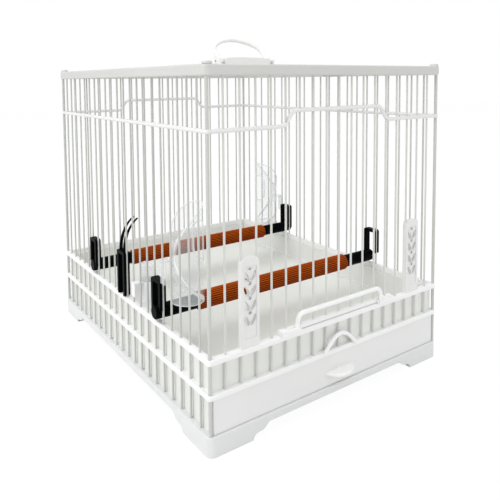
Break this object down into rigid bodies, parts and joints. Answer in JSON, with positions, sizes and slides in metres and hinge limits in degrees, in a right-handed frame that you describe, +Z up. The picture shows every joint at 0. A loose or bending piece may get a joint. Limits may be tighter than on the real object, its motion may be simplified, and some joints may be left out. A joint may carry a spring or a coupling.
{
  "type": "bird travel carrier",
  "caption": "Barred plastic bird carrier with a slide-up door, storage drawer, clip-on perches, hooded feeders, treat cup, fruit fork and a fold-down carrying handle.",
  "frame": {"origin": "on the surface the four feet stand on, under the middle of the rectangle of the corner posts", "axes": "+X to the right seen from the door side, +Y from the door towards the back, +Z up"},
  "size_m": [0.279, 0.3435, 0.3294],
  "materials": {
    "white_plastic": "satin",
    "floor_plastic": "satin",
    "guard_plastic": "satin",
    "bar_plastic": "satin",
    "plaque_plastic": "satin",
    "handle_plastic": "satin",
    "pin_steel": "satin",
    "black_plastic": "gloss",
    "clear_plastic": "clear",
    "cup_plastic": "satin",
    "perch_wood": "ribbed and oiled"
  },
  "bodies": {
    "cage": {"foot_frame": "white_plastic", "middle_rim": "white_plastic", "floor_board": "floor_plastic", "upper_rim": "white_plastic", "guard_left": "guard_plastic", "guard_right": "guard_plastic", "guard_back": "guard_plastic", "guard_front": "guard_plastic", "drawer_runner_left": "white_plastic", "drawer_runner_right": "white_plastic", "corner_posts": "bar_plastic", "bars_left": "bar_plastic", "bars_right": "bar_plastic", "bars_back": "bar_plastic", "bars_front_left": "bar_plastic", "bars_front_right": "bar_plastic", "bars_under_door": "bar_plastic", "ring_rail": "bar_plastic", "roof_frame": "white_plastic", "corner_caps": "white_plastic", "roof_board": "white_plastic", "roof_bars_front": "bar_plastic", "roof_bars_back": "bar_plastic", "plaque_left": "plaque_plastic", "plaque_right": "plaque_plastic", "handle_base": "handle_plastic", "handle_pins": "pin_steel"},
    "door": {"door_rail": "white_plastic", "door_bars": "bar_plastic", "door_loop": "white_plastic"},
    "drawer": {"drawer_tray": "white_plastic", "drawer_front": "white_plastic", "drawer_pull": "white_plastic"},
    "perch_front": {"perch_front_dowel": "perch_wood", "perch_front_end_left": "black_plastic", "perch_front_end_right": "black_plastic"},
    "perch_rear": {"perch_rear_dowel": "perch_wood", "perch_rear_end_left": "black_plastic", "perch_rear_end_right": "black_plastic"},
    "fork": {"fruit_fork": "black_plastic"},
    "seed_feeder": {"feeder_front": "clear_plastic"},
    "water_feeder": {"feeder_rear": "clear_plastic"},
    "treats": {"treat_cup": "cup_plastic", "treat_cup_hood": "clear_plastic"},
    "handle": {"handle_bail": "handle_plastic"}
  },
  "joints": [
    {"name": "door_slide", "type": "slide", "parent": "cage", "child": "door", "axis": [0, 0, 1], "range_m": [0, 0.12]},
    {"name": "drawer_slide", "type": "slide", "parent": "cage", "child": "drawer", "axis": [0, -1, 0], "range_m": [0, 0.25]},
    {"name": "perch_front_height", "type": "slide", "parent": "cage", "child": "perch_front", "axis": [0, 0, 1], "range_m": [0, 0.12]},
    {"name": "perch_rear_height", "type": "slide", "parent": "cage", "child": "perch_rear", "axis": [0, 0, 1], "range_m": [0, 0.12]},
    {"name": "fork_height", "type": "slide", "parent": "cage", "child": "fork", "axis": [0, 0, 1], "range_m": [0, 0.1]},
    {"name": "seed_feeder_height", "type": "slide", "parent": "cage", "child": "seed_feeder", "axis": [0, 0, 1], "range_m": [0, 0.065]},
    {"name": "water_feeder_height", "type": "slide", "parent": "cage", "child": "water_feeder", "axis": [0, 0, 1], "range_m": [0, 0.065]},
    {"name": "treat_cup_height", "type": "slide", "parent": "cage", "child": "treats", "axis": [0, 0, 1], "range_m": [0, 0.1]},
    {"name": "handle_fold", "type": "hinge", "parent": "cage", "child": "handle", "pos_m": [0, -0.026, 0.3034], "axis": [1, 0, 0], "range_deg": [0, 120]}
  ]
}
